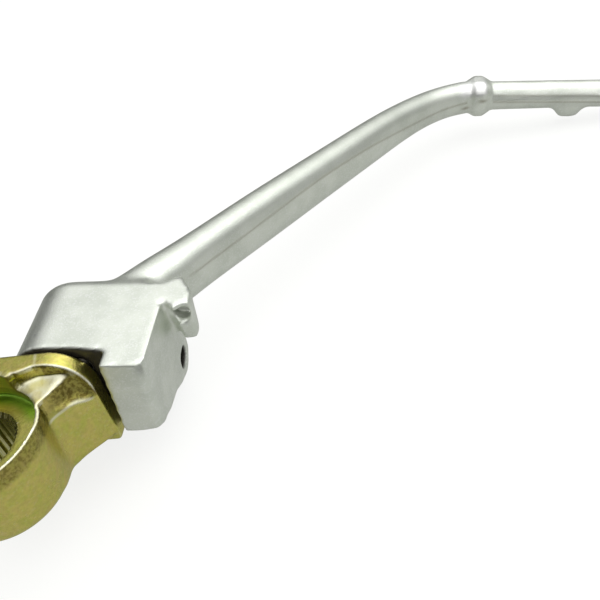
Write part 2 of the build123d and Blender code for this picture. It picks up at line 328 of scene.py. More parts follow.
class EdgeMask(EffectGroup):
    """Mask of raised edges and one of hollows, from how the surface bends away from its even value."""

    name = "edge_mask"
    inputs = (("Softness", 0.06),)
    outputs = ("Edges", "Hollows")

    def lay_out(self, board: NodeBoard, given: Outputs) -> dict[str, Socket]:
        """Lay out the two masks.

        Args:
            board: Board of the group.
            given: Inputs of the group.

        Returns:
            What goes to each output.
        """
        bend = board.add("ShaderNodeNewGeometry").outputs["Pointiness"]
        raised = board.math("DIVIDE", board.minus(bend, 0.51), given["Softness"])
        sunk = board.math("DIVIDE", board.minus(0.49, bend), given["Softness"])
        return {"Edges": board.ramp(raised, 0.0, 1.0), "Hollows": board.ramp(sunk, 0.0, 1.0)}


class ForgingStreaks(EffectGroup):
    """Long faint streaks and smears left by dipping and handling."""

    name = "forging_streaks"
    inputs = (("Stretch", 6.0), ("Streak Size", 3.0))
    outputs = ("Streaks", "Smears")

    def lay_out(self, board: NodeBoard, given: Outputs) -> dict[str, Socket]:
        """Lay out a noise that is stretched upwards and a wide one.

        Args:
            board: Board of the group.
            given: Inputs of the group.

        Returns:
            What goes to each output.
        """
        place = board.place()
        turn = board.add(
            "ShaderNodeVectorRotate", rotation_type="EULER_XYZ", Vector=place, Rotation=(0.5, 0.35, 0.0)
        )
        narrow = board.math("DIVIDE", 1.0, given["Stretch"])
        squeeze = board.add("ShaderNodeCombineXYZ", X=1.0, Y=1.0, Z=narrow)
        long = board.add("ShaderNodeVectorMath", operation="MULTIPLY")
        board.feed(turn.outputs[0], long.inputs[0])
        board.feed(squeeze.outputs[0], long.inputs[1])
        scale = board.math("DIVIDE", 1 / MM, given["Streak Size"])
        streaks = board.noise(long.outputs[0], scale, 4.0)
        smears = board.noise(place, board.math("DIVIDE", scale, 3.0), 3.0, Distortion=0.8)
        return {"Streaks": board.ramp(streaks, 0.35, 0.68), "Smears": board.ramp(smears, 0.38, 0.66)}


def new_material(name: str) -> tuple[Material, NodeBoard]:
    """Start a material.

    Args:
        name: Name of the material.

    Returns:
        The material and its empty board.
    """
    material = bpy.data.materials.new(name)
    material.use_nodes = True
    material.node_tree.nodes.clear()
    return material, NodeBoard(material.node_tree)


@dataclass(frozen=True)
class BlastedAlloy:
    """Finish of the arm: blasted forged aluminium, with painted glints, painted shade and a painted highlight
    by the collar.
    """

    light: Color = (0.81, 0.845, 0.765, 1.0)
    shade: Color = (0.72, 0.758, 0.678, 1.0)
    bar_shade: Color = (0.52, 0.55, 0.49, 1.0)
    wear_and_glint: Color = (0.93, 0.94, 0.93, 1.0)
    hollow_shade: Color = (0.46, 0.45, 0.40, 1.0)
    head_shade: Color = (0.030, 0.026, 0.020, 1.0)
    seam: Color = (0.30, 0.27, 0.20, 1.0)
    collar_highlight: Color = (0.98, 0.98, 0.97, 1.0)
    grain_size: float = 0.36
    grain_depth: float = 0.08
    roughness: float = 0.42

    def material(self) -> Material:
        """Build the finish.

        Returns:
            The material.
        """
        material, board = new_material("blasted_alloy")
        grain = BlastGrain().place(board, Grain_Size=self.grain_size, Facet_Share=0.35)
        edges = EdgeMask().place(board, Softness=0.08)
        # both shares are painted shade: on the bar's top, and in the head's gaps and holes
        bar_shaded, greased = board.stored(Share.SHADE), board.stored(Share.HEAD_SHADE)
        color = board.coats(
            self.shade,
            (board.ramp(grain["Clouds"], 0.35, 0.65), 1.0, self.light),
            # painted glints: bright grain facets
            (grain["Facets"], 0.35, self.wear_and_glint),
            # painted shade: darkens the hollows
            (edges["Hollows"], 0.4, self.hollow_shade),
            # painted shade: darkens the bar's upward faces
            (bar_shaded, 0.5, self.bar_shade),
            # painted highlight on the collar's upward, forward faces
            (board.stored(Share.WEAR_AND_GLINT), 0.8, self.collar_highlight),
            (board.stored(Share.SEAM), 1.0, self.seam),
            # painted shade: near black on the head's front face, bore, pocket and pin hole
            (greased, 1.0, self.head_shade),
        )
        relief = board.times(grain["Height"], board.plus(board.times(bar_shaded, 0.8), 1.0))
        board.surface(
            Base_Color=color,
            Metallic=board.minus(1.0, board.times(greased, 0.8)),
            Roughness=board.plus(board.times(grain["Facets"], -0.10), self.roughness),
            Normal=board.bump(relief, self.grain_depth, 0.6),
        )
        return material


@dataclass(frozen=True)
class YellowZinc:
    """Finish of the boss: yellow passivated zinc, mottled, with green and pink tints, painted shade and painted
    highlights.
    """

    gold: Color = (0.68, 0.61, 0.16, 1.0)
    green: Color = (0.59, 0.59, 0.13, 1.0)
    pink: Color = (0.68, 0.52, 0.20, 1.0)
    # near white for painted glints, painted highlights and bright edges
    bright: Color = (0.98, 0.97, 0.80, 1.0)
    # dark brown for painted shade, also mottled in at random by the spots
    brown: Color = (0.17, 0.135, 0.03, 1.0)
    recess_shade: Color = (0.30, 0.31, 0.06, 1.0)
    leaf: Color = (0.24, 0.52, 0.05, 1.0)
    grain_size: float = 0.45
    mottle_size: float = 0.8
    roughness: float = 0.18

    def material(self) -> Material:
        """Build the finish.

        Returns:
            The material.
        """
        material, board = new_material("yellow_zinc")
        streaks = ForgingStreaks().place(board, Stretch=5.0, Streak_Size=1.3)
        grain = BlastGrain().place(board, Grain_Size=self.grain_size, Facet_Share=0.25)
        mottle = BlastGrain().place(board, Grain_Size=self.mottle_size, Facet_Share=0.30)
        edges = EdgeMask().place(board, Softness=0.07)
        shade, wear_and_glint = board.stored(Share.SHADE), board.stored(Share.WEAR_AND_GLINT)
        spots = board.ramp(mottle["Height"], 0.36, 0.68)
        # painted shade: brown on the scoop, flange, rim band, recess wall and bore mouth, broken up by the
        # mottle
        brown_shading = board.times(board.stored(Share.BROWN_SHADE), board.plus(board.times(spots, 0.45), 0.72))
        color = board.coats(
            self.green,
            (streaks["Smears"], 1.0, self.gold),
            (streaks["Streaks"], 0.40, self.pink),
            # painted shade: brown in the hollows
            (edges["Hollows"], 0.35, self.brown),
            # painted glints: bright grain facets
            (grain["Facets"], 0.08, self.bright),
            # painted shade: dark olive in the recess and the bore
            (shade, 1.0, self.recess_shade),
            (board.stored(Share.GREEN), 0.85, self.leaf),
            (board.math("MINIMUM", board.plus(brown_shading, board.times(spots, 0.12)), 1.0), 1.0, self.brown),
            # bright edges, partly wear and partly painted highlight, kept out of the painted shade
            (edges["Edges"], board.minus(0.5, board.times(shade, 0.5)), self.bright),
            # painted highlights: rim, crease, flange edge and platform, broken up by the smears
            (wear_and_glint, board.minus(1.0, board.times(streaks["Smears"], 0.45)), self.bright),
        )
        rough = board.plus(board.times(grain["Clouds"], 0.22), board.times(wear_and_glint, 0.22))
        relief = board.plus(grain["Height"], board.times(mottle["Height"], 1.6))
        board.surface(
            Base_Color=color,
            Metallic=1.0,
            Roughness=board.plus(rough, self.roughness),
            Normal=board.bump(relief, 0.06, 0.5),
        )
        return material


@dataclass(frozen=True)
class PlainMetal:
    """Finish of a small metal piece: its colour with fine grain, painted glints, and bright edges that are
    partly wear and partly painted highlight.
    """

    name: str
    color: Color
    wear_and_glint: Color
    roughness: float

    def material(self) -> Material:
        """Build the finish.

        Returns:
            The material.
        """
        material, board = new_material(self.name)
        grain = BlastGrain().place(board, Grain_Size=0.25, Facet_Share=0.3)
        edges = EdgeMask().place(board, Softness=0.06)
        # painted glints on grain facets; bright edges, partly wear and partly painted highlight
        coats = (grain["Facets"], 0.3, self.wear_and_glint), (edges["Edges"], 0.6, self.wear_and_glint)
        board.surface(
            Base_Color=board.coats(self.color, *coats),
            Metallic=1.0,
            Roughness=board.plus(board.times(grain["Clouds"], 0.12), self.roughness),
            Normal=board.bump(grain["Height"], 0.01, 0.25),
        )
        return material


@dataclass(frozen=True)
class SealRubber:
    """Finish of the seal ring: black rubber with a little dust."""

    color: Color = (0.020, 0.020, 0.022, 1.0)
    dust: Color = (0.075, 0.072, 0.068, 1.0)

    def material(self) -> Material:
        """Build the finish.

        Returns:
            The material.
        """
        material, board = new_material("seal_rubber_black")
        grain = BlastGrain().place(board, Grain_Size=0.3, Facet_Share=0.3)
        board.surface(
            Base_Color=board.coats(self.color, (grain["Clouds"], 1.0, self.dust)),
            Roughness=board.plus(grain["Clouds"], 0.1),
            Normal=board.bump(grain["Height"], 0.02, 0.3),
        )
        return material


def rise(values: Array, low: float | Array, high: float | Array) -> Array:
    """Rise softly from 0 at a low value to 1 at a high one, which may differ from point to point."""
    share = np.clip((values - low) / (high - low), 0.0, 1.0)
    return share * share * (3.0 - 2.0 * share)


def fall(values: Array, low: float, high: float) -> Array:
    """Fall softly from 1 at one value to 0 at another, the reverse of rise."""
    return 1.0 - rise(values, low, high)


def between(values: Array, low: float, high: float) -> Array:
    """Mark the values that lie between two others."""
    return (values > low) & (values < high)


def peak(values: Array, width: float) -> Array:
    """Peak softly at the value 0, with the half width given."""
    return np.exp(-((values / width) ** 2))


def strongest(*shares: Array) -> Array:
    """Take the largest of some shares at each point, within 0 to 1."""
    return np.clip(np.maximum.reduce(shares), 0.0, 1.0)


class Skin:
    """Evenly meshed skin grown over a frame node, which can be relaxed, shaped and cut."""

    def __init__(self, name: str, node: Piece, voxel: float, *plugs: Form) -> None:
        """Weld a copy of the node's mesh, add the plugs and mesh it evenly.

        Args:
            name: Name of the new piece.
            node: Node of the frame that the skin stands for.
            voxel: Mesh size in millimetres.
            *plugs: Closed forms that are joined to the node's before meshing.
        """
        shell = bmesh.new()
        shell.from_mesh(node.data)
        bmesh.ops.remove_doubles(shell, verts=shell.verts, dist=WELD_GAP)
        for plug in plugs:
            extra = to_mesh(name + "_plug", plug)
            shell.from_mesh(extra)
            bpy.data.meshes.remove(extra)
        self.piece = add_object(name, to_mesh(name + "_rough", shell))
        remesh = self.piece.modifiers.new("even", "REMESH")
        remesh.mode = "VOXEL"
        remesh.voxel_size = voxel * MM
        self.apply()
        edges = np.empty(len(self.piece.data.edges) * 2, dtype=np.int64)
        self.piece.data.edges.foreach_get("vertices", edges)
        self.edges = edges.reshape(-1, 2)

    def apply(self) -> None:
        """Turn the piece's modifiers into its mesh."""
        graph = bpy.context.evaluated_depsgraph_get()
        graph.update()
        mesh = bpy.data.meshes.new_from_object(self.piece.evaluated_get(graph))
        mesh.name = self.piece.name
        self.piece.modifiers.clear()
        self.piece.data = mesh

    def points(self) -> Array:
        """Read the skin's points.

        Returns:
            Array of points in millimetres, one row each.
        """
        points = np.empty(len(self.piece.data.vertices) * 3)
        self.piece.data.vertices.foreach_get("co", points)
        return points.reshape(-1, 3) / MM

    def store(self, points: Array) -> None:
        """Write the skin's points, given in millimetres."""
        self.piece.data.vertices.foreach_set("co", (points * MM).ravel())
        self.piece.data.update()

    def normals(self) -> Array:
        """Read the skin's normals.

        Returns:
            Array of three rows: the x, y and z of the unit normals.
        """
        normals = np.empty(len(self.piece.data.vertices) * 3)
        self.piece.data.vertex_normals.foreach_get("vector", normals)
        return normals.reshape(-1, 3).T

    def pull(self, points: Array) -> Array:
        """Find how far each point lies from the mean of its neighbours.

        Args:
            points: Points of the mesh.

        Returns:
            Array of moves that would bring each point to that mean.
        """
        count = len(points)
        first, second = self.edges[:, 0], self.edges[:, 1]
        valence = np.bincount(first, minlength=count) + np.bincount(second, minlength=count)
        mean = np.empty_like(points)
        for axis in range(3):
            total = np.bincount(first, weights=points[second, axis], minlength=count)
            total += np.bincount(second, weights=points[first, axis], minlength=count)
            mean[:, axis] = total / np.maximum(valence, 1)
        return mean - points

    def relax(self, rounds: int, manner: Relax, weight: Array | None = None) -> None:
        """Even out the skin.

        Args:
            rounds: Number of passes.
            manner: Keep the form, or spread it into a larger round.
            weight: Share from 0 to 1 for each point, or None for the whole skin.
        """
        points = self.points()
        share = np.ones(len(points)) if weight is None else weight
        for _ in range(rounds):
            points = points + SPREAD_STEP * share[:, None] * self.pull(points)
            if manner is Relax.KEEP_FORM:
                points = points - REGAIN_STEP * share[:, None] * self.pull(points)
        self.store(points)

    def cut(self, cutter: Form) -> None:
        """Take a closed form out of the skin.

        Args:
            cutter: Closed form, used up by the cut.
        """
        tool = add_object("cutter", to_mesh("cutter", cutter))
        step = self.piece.modifiers.new("cut", "BOOLEAN")
        step.operation = "DIFFERENCE"
        step.solver = "MANIFOLD"
        step.object = tool
        self.apply()
        bpy.data.objects.remove(tool)

    def mark(self, share: Share, values: Array) -> None:
        """Store a share on every point, for the material to read."""
        layer = self.piece.data.attributes.new(share.value, "FLOAT", "POINT")
        layer.data.foreach_set("value", values)

    def dress(self, material: Material) -> None:
        """Give the skin its material and smooth shading.

        Args:
            material: Material of the skin.
        """
        self.piece.data.materials.clear()
        self.piece.data.materials.append(material)
        self.piece.data.shade_smooth()


@dataclass
class Forging:
    """Base of the two forgings: a skin that is read and shaped in the frame round the folding arm's pivot."""

    pivot_x: float = 8.0
    pivot_z: float = 2.85
    droop: float = 6.75
    skin: Skin = field(init=False)

    def turned(self, x: Array, z: Array, turn: float) -> tuple[Array, Array]:
        """Turn places about the pivot through an angle in degrees."""
        cosine, sine = math.cos(math.radians(turn)), math.sin(math.radians(turn))
        return x * cosine - z * sine, x * sine + z * cosine

    def at_rest(self) -> Array:
        """Read the x, y and z of the skin's points in the row's frame, in millimetres."""
        return self.skin.points().T

    def at(self) -> tuple[Array, Array, Array]:
        """Read the skin's points in the frame of the arm, which droops a little at rest.

        Returns:
            Their x, y and z in millimetres.
        """
        x, y, z = self.at_rest()
        x, z = self.turned(x - self.pivot_x, z - self.pivot_z, self.droop)
        return x, y, z

    def put_at_rest(self, x: Array, y: Array, z: Array) -> None:
        """Write the skin's points, given in the row's frame."""
        self.skin.store(np.stack([x, y, z], axis=1))

    def put(self, x: Array, y: Array, z: Array) -> None:
        """Write the skin's points, given in the frame of the arm."""
        x, z = self.turned(x, z, -self.droop)
        self.put_at_rest(x + self.pivot_x, y, z + self.pivot_z)


@dataclass
class ForgedArm(Forging):
    """Arm of the lever: head, cheek, ear, bar, collar and peg in one forging."""

    voxel: float = 0.5
    head_front: float = 19.06
    head_back: float = 46.06
    head_top: float = 14.5
    head_right: float = 26.0
    tab_left: float = 17.1
    tab_bottom: float = 7.9
    tab_flare: float = 0.9
    tab_flare_low: float = 0.3
    front_slant: float = 0.8
    corner_lift: float = 0.9
    pocket_front: float = 33.86
    pocket_left: float = 27.4
    pocket_bottom: float = 7.8
    pocket_fill: float = 0.4
    pin_y: float = 39.7
    pin_drop: float = 10.1
    pin_radius: float = 3.0
    bore_radius: float = 9.6
    bar_root_x: float = 12.3
    bar_root_y: float = 40.56
    bar_facing: tuple[float, float] = (0.737, 0.675)
    bar_regain: float = 0.03
    bar_end_x: float = 119.6
    bar_end_y: float = 158.0
    collar_half: float = 4.2
    peg_height: float = 5.2
    peg_taper: float = 0.7
    nub_reach: float = 33.0
    seam_level: float = 7.7
    seam_bow: float = 1.5
    seam_bow_middle: float = 75.0
    seam_bow_width: float = 28.0
    seam_drop: float = 2.2
    seam_drop_from: float = 95.0
    seam_drop_to: float = 135.0
    seam_slope: float = 0.035
    seam_rise: float = 0.22
    root_rounds: int = 44
    ear_rounds: int = 12
    pocket_rounds: int = 30
    bar_rounds: int = 52
    nub_rounds: int = 26
    peg_rounds: int = 14

    def build(self, nodes: dict[str, Piece], finish: BlastedAlloy) -> Piece:
        """Grow, shape and dress the arm's skin.

        Args:
            nodes: Nodes of the frame.
            finish: Finish of the arm.

        Returns:
            The arm's piece.
        """
        self.skin = Skin("forged_arm", nodes["kick_arm"], self.voxel)
        self.skin.relax(8, Relax.KEEP_FORM)
        self.skin.relax(3, Relax.SPREAD)
        self.blend_root()
        self.shape_tab()
        self.soften_ear()
        self.soften_bar()
        self.round_nub()
        self.raise_seam()
        self.skin.mark(Share.HEAD_SHADE, self.head_shade_share())
        self.skin.mark(Share.SEAM, self.seam_share())
        self.skin.mark(Share.WEAR_AND_GLINT, self.collar_highlight_share())
        self.skin.mark(Share.SHADE, self.bar_shade_share())
        self.skin.dress(finish.material())
        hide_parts("kick_arm")
        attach(self.skin.piece, Body.ARM.value)
        return self.skin.piece

    def blend_root(self) -> None:
        """Soften the step between the head's top and the bar behind it."""
        x, y, z = self.at()
        back, right = self.head_back, self.head_right
        near = rise(y, back - 6.0, back - 2.0) * fall(y, back + 2.0, back + 9.0)
        near *= rise(z, 5.0, 9.0) * fall(x, right - 3.0, right + 3.0)
        self.skin.relax(self.root_rounds, Relax.SPREAD, near)

    def shape_tab(self) -> None:
        """Flare the stop tab's inner side, slant its front and lift its lower corner."""
        x, y, z = self.at()
        front, left, right, bottom = self.head_front, self.tab_left, self.head_right, -self.tab_bottom
        high = rise(z, 4.0, 8.0)
        lean = np.clip((z - bottom) / (self.head_top - bottom), 0.0, 1.0)
        flare = self.tab_flare_low + (self.tab_flare - self.tab_flare_low) * lean
        side = rise(x, left - 5.0, left - 0.4) * fall(x, left + 0.3, left + 2.0)
        x -= flare * fall(y, front + 0.3, front + 2.0) * side
        near = rise(y, front - 4.0, front - 0.3) * fall(y, front + 0.3, front + 2.5)
        y -= self.front_slant * rise(x, 8.0, left - 1.5) * fall(x, left - 0.5, left + 2.0) * near * high
        corner = rise(x, right - 7.0, right) * fall(y, front - 0.5, front + 4.0)
        self.put(x, y, z + self.corner_lift * corner * fall(z, bottom, bottom + 6.0))

    def soften_ear(self) -> None:
        """Round the ear's edges, make its pocket shallower and soften the pocket's mouth."""
        x, y, z = self.at()
        front, left, bottom = self.pocket_front, self.pocket_left, self.pocket_bottom
        ear = rise(x, self.head_right - 3.0, self.head_right - 0.5) * rise(y, front - 1.2, front + 0.4)
        ear *= fall(y, self.head_back + 4.0, self.head_back + 8.0) * rise(z, -2.0, 1.5)
        self.skin.relax(self.ear_rounds, Relax.SPREAD, ear)
        x, y, z = self.at()
        deep = between(x, left - 0.3, left + 5.0) & between(z, bottom - 0.3, bottom + 5.4)
        deep = deep & (y < self.head_back - 3.0)
        y -= self.pocket_fill * deep * np.maximum(y - front - 0.2, 0.0)
        self.put(x, y, z)
        mouth = rise(z, bottom - 1.5, bottom - 0.5) * fall(z, bottom + 5.0, bottom + 6.0)
        mouth *= rise(y, front - 1.0, front) * fall(y, front + 2.0, front + 3.5)
        mouth *= rise(x, left - 1.5, left - 0.5)
        self.skin.relax(self.pocket_rounds, Relax.SPREAD, mouth)

    def soften_bar(self) -> None:
        """Make the bar's section rounder between the head and the collar."""
        x, y, z = self.at()
        bar = rise(y, self.head_back + 4.0, self.head_back + 14.0)
        bar *= fall(x, self.bar_end_x - 10.0, self.bar_end_x - 6.0)
        self.skin.relax(self.bar_rounds, Relax.SPREAD, bar)
        x, y, z = self.at()
        self.put(x, y, self.peg_height + (z - self.peg_height) * (1.0 + self.bar_regain * bar))

    def round_nub(self) -> None:
        """Round the nub under the peg, blend its root and taper the peg a little."""
        x, y, z = self.at()
        reach, nub, middle = x - self.bar_end_x, self.nub_reach, self.peg_height
        near = rise(reach, nub - 10.0, nub - 7.0) * fall(reach, nub + 7.0, nub + 10.0)
        lower = fall(z, middle - 4.5, middle - 3.0)
        front = fall(y, self.bar_end_y - 5.5, self.bar_end_y - 4.0)
        self.skin.relax(self.nub_rounds, Relax.SPREAD, near * np.maximum(lower, front))
        peg = rise(reach, self.collar_half + 1.0, self.collar_half + 5.0) * fall(reach, nub - 10.0, nub - 7.0)
        self.skin.relax(self.peg_rounds, Relax.SPREAD, peg)
        x, y, z = self.at()
        taper = self.peg_taper * rise(x - self.bar_end_x, self.collar_half, self.collar_half + 45.0)
        self.put(x, y, z - taper * rise(z, middle - 2.0, middle + 4.0))

    def raise_seam(self) -> None:
        """Raise a low ridge along the parting line."""
        x, y, z = self.at()
        ridge = self.seam_rise * peak(z - self.seam_height() - 0.3, 0.9) * self.seam_side()
        peg = self.on_peg(x)
        x += ridge * np.where(peg, 0.0, self.bar_facing[0])
        y -= ridge * np.where(peg, 1.0, self.bar_facing[1])
        self.put(x, y, z)

    def on_peg(self, x: Array) -> Array:
        """Mark the points beyond the collar."""
        return x > self.bar_end_x + self.collar_half

    def seam_height(self) -> Array:
        """Find the height of the forging's parting line on the bar and on the peg.

        Returns:
            Height of the line for each point.
        """
        x, y, _ = self.at()
        along = np.hypot(x - self.bar_root_x, y - self.bar_root_y)
        bar = self.seam_level + self.seam_bow * peak(along - self.seam_bow_middle, self.seam_bow_width)
        bar -= self.seam_drop * rise(along, self.seam_drop_from, self.seam_drop_to)
        return np.where(self.on_peg(x), self.peg_height - self.seam_slope * (x - self.bar_end_x), bar)

    def seam_side(self) -> Array:
        """Find the points on the flank that shows the parting line.

        Returns:
            Share for each point.
        """
        x, y, _ = self.at()
        right, back, _ = self.skin.normals()
        facing = np.where(self.on_peg(x), -back, self.bar_facing[0] * right - self.bar_facing[1] * back)
        side = rise(facing, 0.45, 0.7) * rise(y, self.head_back + 3.0, self.head_back + 9.0)
        return side * (np.abs(x - self.bar_end_x) >= self.collar_half + 0.5)

    def seam_share(self) -> Array:
        """Find the points on the parting line and in the small marks beside the collar.

        Returns:
            Share for each point.
        """
        x, y, z = self.at()
        end = self.bar_end_x
        away, side = z - self.seam_height(), self.seam_side()
        line = 0.5 * peak(away, 0.4) * side
        upper = 0.35 * peak(away - 2.2, 0.35) * side * self.on_peg(x)
        left_spot = peak(x - end + 5.2, 1.5) * peak(z - 3.4, 0.55)
        right_spot = peak(x - end - 0.6, 1.5) * peak(z - 6.2, 0.55)
        spots = 0.8 * np.maximum(left_spot, right_spot) * (y < self.bar_end_y) * (x > end - 9.0)
        return strongest(line, upper, spots)

    def collar_highlight_share(self) -> Array:
        """Find the patches beside and on the collar that get a painted highlight.

        Returns:
            Share for each point.
        """
        x, _, z = self.at()
        _, back, up = self.skin.normals()
        patch = rise(x, self.bar_end_x - 9.0, self.bar_end_x - 5.5) * (x < self.bar_end_x + 2.2)
        return patch * rise(up, 0.05, 0.45) * rise(-back, -0.2, 0.2) * (z > self.peg_height - 0.5)

    def bar_shade_share(self) -> Array:
        """Find the bar's upward faces between the head and the collar, which get painted shade.

        Returns:
            Share for each point.
        """
        x, y, _ = self.at()
        bar = rise(y, self.head_back + 1.0, self.head_back + 12.0) * rise(self.skin.normals()[2], 0.1, 0.6)
        return bar * fall(x, self.bar_end_x - 24.0, self.bar_end_x - 10.0)

    def head_shade_share(self) -> Array:
        """Find where dark shade is painted: the head's front face, its bore, the pocket and the pin hole.

        Returns:
            Share for each point.
        """
        x, y, z = self.at()
        right, back, _ = self.skin.normals()
        front, left, bottom = self.head_front, self.tab_left, self.pocket_bottom
        facing = rise(-back, 0.35, 0.8)
        face = facing * (np.abs(y - front + 0.3) < 1.2) * fall(x, left - 0.4, left + 0.4)
        pocket = 0.2 * rise(y, self.pocket_front + 0.3, self.pocket_front + 2.0) * (y < self.head_back - 3.0)
        pocket *= between(x, self.pocket_left, self.pocket_left + 4.9) * between(z, bottom, bottom + 5.2)
        bore = (np.hypot(x, z) < self.bore_radius) * between(y, front - 0.5, self.head_back - 0.7)
        across, along, up = x - self.head_right + 0.4, y - front + 5.3, 0.7 * (z - self.head_top + 1.4)
        smear = 0.45 * np.exp(-(across**2 + along**2 + up**2) / 2.2) * facing
        hole = np.hypot(y - self.pin_y, z + self.pin_drop) < self.pin_radius + 0.25
        hole = hole * fall(x, self.head_right - 0.8, self.head_right)
        inner = 0.3 * rise(-right, 0.45, 0.8) * between(x, 8.0, left + 0.6) * (y < front)
        return strongest(face, pocket, bore, smear, hole, inner)


@dataclass
class SplinedBoss(Forging):
    """Steel boss: splined hub, neck, pivot flange and pivot stub."""

    voxel: float = 0.32
    spline_root_radius: float = 8.8
    tooth_height: float = 0.9
    teeth: int = 30
    tip_share: float = 0.41
    root_share: float = 0.27
    bore_top: float = 9.15
    bore_bottom: float = -8.55
    lead_in: float = 0.95
    plug_extra: float = 1.6
    rim_top: float = 12.35
    rim_depth: float = 3.4
    rim_tuck: float = 0.55
    foot_tuck: float = 0.6
    ledge_reach: float = 0.9
    hub_radius: float = 14.9
    recess_radius: float = 13.9
    junction: tuple[float, float] = (13.7, 6.4)
    junction_low: tuple[float, float] = (14.5, 3.3)
    junction_spread: float = 2.3
    highlight_corner: tuple[float, float] = (13.9, 6.5)
    flange_front: float = 14.3
    flange_back: float = 18.4
    flange_half: float = 13.7
    flange_corner: float = 9.4
    flange_small_corner: float = 1.4
    mark_x: float = 10.2
    fold_out: float = 97.0
    dimple_reach: float = 12.6
    dimple_angle: float = 42.0
    dimple_y: float = 20.14
    dimple_radius: float = 2.64
    neck_left: float = 12.5
    crease_height: float = 7.4
    crease_drop: float = 2.1
    crease_bend: float = 17.0
    crease_end: float = 21.5
    scoop_turn: float = 57.0
    scoop_dish: float = 0.65
    platform_rounds: int = 40
    ridge_rounds: int = 26
    junction_rounds: int = 70

    def build(self, nodes: dict[str, Piece], finish: YellowZinc) -> Piece:
        """Grow the skin over the plugged boss, shape it, cut its splines and dimples and dress it.

        Args:
            nodes: Nodes of the frame.
            finish: Finish of the boss.

        Returns:
            The boss's piece.
        """
        self.skin = Skin("zinc_boss", nodes["kick_boss"], self.voxel, self.plug())
        self.skin.relax(5, Relax.KEEP_FORM)
        self.skin.relax(1, Relax.SPREAD)
        self.blend_platform()
        self.blend_junction()
        self.dish_scoop()
        self.tuck_rim()
        self.skin.cut(self.tooth_cutter())
        self.skin.cut(self.lead_in_cutter())
        for turn in (self.droop, self.droop - self.fold_out):
            self.skin.cut(self.dimple_cutter(turn))
        self.skin.mark(Share.WEAR_AND_GLINT, self.highlight_share())
        self.skin.mark(Share.SHADE, self.shade_share())
        self.skin.mark(Share.BROWN_SHADE, self.brown_shade_share())
        self.skin.mark(Share.GREEN, self.green_share())
        self.skin.dress(finish.material())
        self.flatten_bore()
        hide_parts("kick_boss")
        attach(self.skin.piece, Body.BOSS.value)
        return self.skin.piece

    def blend_platform(self) -> None:
        """Fillet the corner where the neck's top runs into the flange, and soften the ridge beside it."""
        x, y, z = self.at_rest()
        front, top = self.flange_front, self.rim_top
        near = rise(y, front - 4.5, front - 2.0) * fall(y, front - 0.4, front + 0.2)
        near *= rise(z, top - 4.5, top - 2.0) * fall(z, top + 1.8, top + 3.0)
        self.skin.relax(self.platform_rounds, Relax.SPREAD, near)
        x, y, z = self.at_rest()
        ridge = rise(y, front - 5.1, front - 3.3) * fall(y, front - 0.9, front + 0.1)
        ridge *= rise(x, 13.5, 15.5) * rise(z, top - 2.5, top - 0.8)
        self.skin.relax(self.ridge_rounds, Relax.SPREAD, ridge)

    def blend_junction(self) -> None:
        """Fillet the corner where the neck's side runs into the hub."""
        x, y, z = self.at_rest()
        low = fall(z, self.crease_height - 2.0, self.crease_height + 1.0)
        middle_x = self.junction[0] + (self.junction_low[0] - self.junction[0]) * low
        middle_y = self.junction[1] + (self.junction_low[1] - self.junction[1]) * low
        away = np.hypot(x - middle_x, y - middle_y) / (self.junction_spread * (1.0 + 0.5 * low))
        near = fall(away, 0.5, 1.0) * fall(z, self.rim_top - 3.0, self.rim_top - 0.8)
        self.skin.relax(self.junction_rounds, Relax.SPREAD, near)

    def crease(self, x: Array) -> Array:
        """Find the height of the scoop's lower edge on the neck's side."""
        return self.crease_height - self.crease_drop * rise(x, self.crease_bend, self.crease_end)

    def side_facing(self) -> Array:
        """Find how squarely the points face out of the neck's side that faces the peg.

        Returns:
            Share of the normal that points that way, for each point.
        """
        right, back, _ = self.skin.normals()
        turn = math.radians(self.scoop_turn)
        return right * math.sin(turn) - back * math.cos(turn)

    def side_share(self) -> Array:
        """Find the points on the neck's side that faces the peg.

        Returns:
            Share for each point.
        """
        x, y, _ = self.at_rest()
        share = rise(self.side_facing(), 0.30, 0.55) * (x > self.neck_left) * rise(y, 4.2, 6.2)
        return share * fall(y, self.flange_front - 1.3, self.flange_front - 0.1)

    def dish_scoop(self) -> None:
        """Hollow the scoop a little more between its two edges."""
        x, y, z = self.at_rest()
        low = self.crease(x)
        up = np.clip((z - low) / (self.rim_top + 0.2 - low), 0.0, 1.0)
        depth = self.scoop_dish * 4.0 * up * (1.0 - up) * self.side_share()
        turn = math.radians(self.scoop_turn)
        self.put_at_rest(x - depth * math.sin(turn), y + depth * math.cos(turn), z)

    def tuck_rim(self) -> None:
        """Draw the hub's wall in towards rim and foot as a soft shoulder, and widen the rim by the flange."""
        x, y, z = self.at_rest()
        reach, turn = np.hypot(x, y), np.degrees(np.arctan2(y, x))
        top, hub, recess = self.rim_top, self.hub_radius, self.recess_radius
        high = np.clip((z - top + self.rim_depth) / self.rim_depth, 0.0, 1.0)
        wall = rise(reach, hub - 0.9, hub - 0.4) * (reach < hub + 0.3)
        outer = rise(reach, hub - 3.5, hub - 1.5) * (reach < hub + 0.3)
        tuck = self.rim_tuck * high**2 * wall
        tuck += self.foot_tuck * fall(z, self.bore_bottom, self.bore_bottom + 9.0) * outer
        tuck *= 1.0 - rise(turn, -10.0, 12.0) * fall(turn, 148.0, 165.0)
        ledge = rise(reach, recess - 0.6, recess - 0.2) * (reach < recess + 0.35)
        ledge *= rise(z, self.bore_top + 0.3, self.bore_top + 1.5) * rise(y, 7.0, 12.5)
        scale = 1.0 - (tuck + self.ledge_reach * ledge) / np.maximum(reach, 1.0)
        self.put_at_rest(x * scale, y * scale, z)

